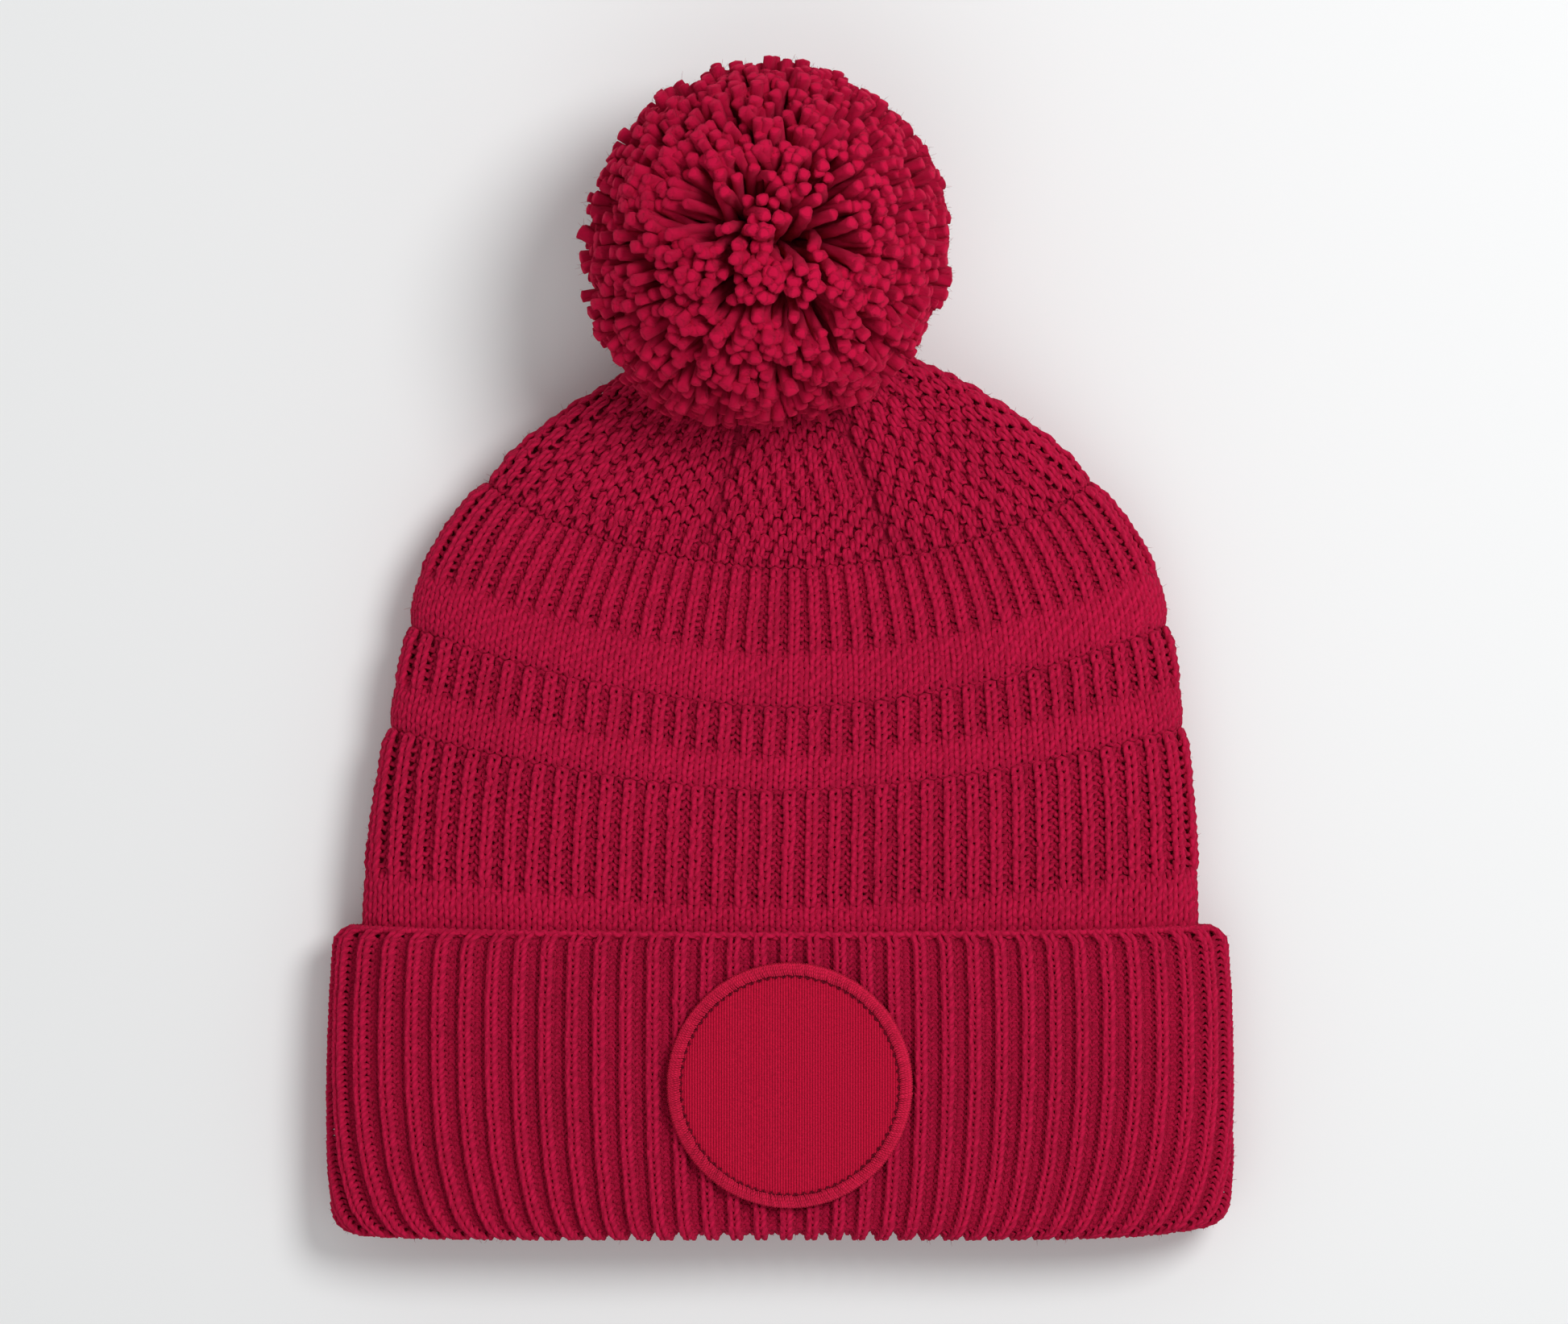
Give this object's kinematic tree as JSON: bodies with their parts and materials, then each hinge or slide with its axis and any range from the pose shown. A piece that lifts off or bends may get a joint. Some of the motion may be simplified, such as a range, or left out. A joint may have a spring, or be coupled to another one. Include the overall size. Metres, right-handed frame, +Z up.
{
  "type": "pom pom beanie",
  "caption": "Knitted beanie with a turned-up ribbed cuff, a round sewn patch and a soft yarn pom tied to the top of its crown.",
  "frame": {"origin": "middle of the hat's box, on the surface that it lies on", "axes": "+X across the hat, +Y from the cuff up to the pom, +Z up through the front of the hat"},
  "size_m": [0.2256, 0.2904, 0.089],
  "materials": {
    "body_yarn": "soft knitted yarn, matt with a slight fuzz",
    "cuff_yarn": "soft ribbed yarn, matt with a slight fuzz",
    "pom_yarn": "thick twisted cut yarn, matt and brushed",
    "tie_yarn": "twisted yarn, matt",
    "seam_thread": "fine sewing thread, slight sheen",
    "border_thread": "close satin-stitched thread, slight sheen",
    "patch_weave": "finely ribbed woven cloth, slight sheen",
    "patch_stiffener": "pressed felt, matt"
  },
  "bodies": {
    "hat": {"body_knit": "body_yarn", "crown_front": "body_yarn", "crown_front_left": "body_yarn", "crown_front_right": "body_yarn", "crown_back": "body_yarn", "crown_back_left": "body_yarn", "crown_back_right": "body_yarn", "dart_seams": "seam_thread", "back_seam": "seam_thread", "gather_yarn": "tie_yarn", "cuff_rib": "cuff_yarn", "patch_backing": "patch_stiffener", "patch_face": "patch_weave", "patch_border": "border_thread", "patch_stitching": "seam_thread"},
    "pom_tie": {"tie_neck": "tie_yarn", "tie_knot": "tie_yarn"},
    "pom": {"pom_yarn": "pom_yarn", "pom_binding": "tie_yarn", "pom_shank": "tie_yarn"}
  },
  "joints": [
    {"name": "pom_swing", "type": "hinge", "parent": "hat", "child": "pom_tie", "pos_m": [0, 0.0825, 0.02372], "axis": [0, 0, 1], "range_deg": [-15, 15]},
    {"name": "pom_lift", "type": "hinge", "parent": "pom_tie", "child": "pom", "pos_m": [0, 0.0825, 0.02372], "axis": [1, 0, 0], "range_deg": [0, 10]}
  ]
}
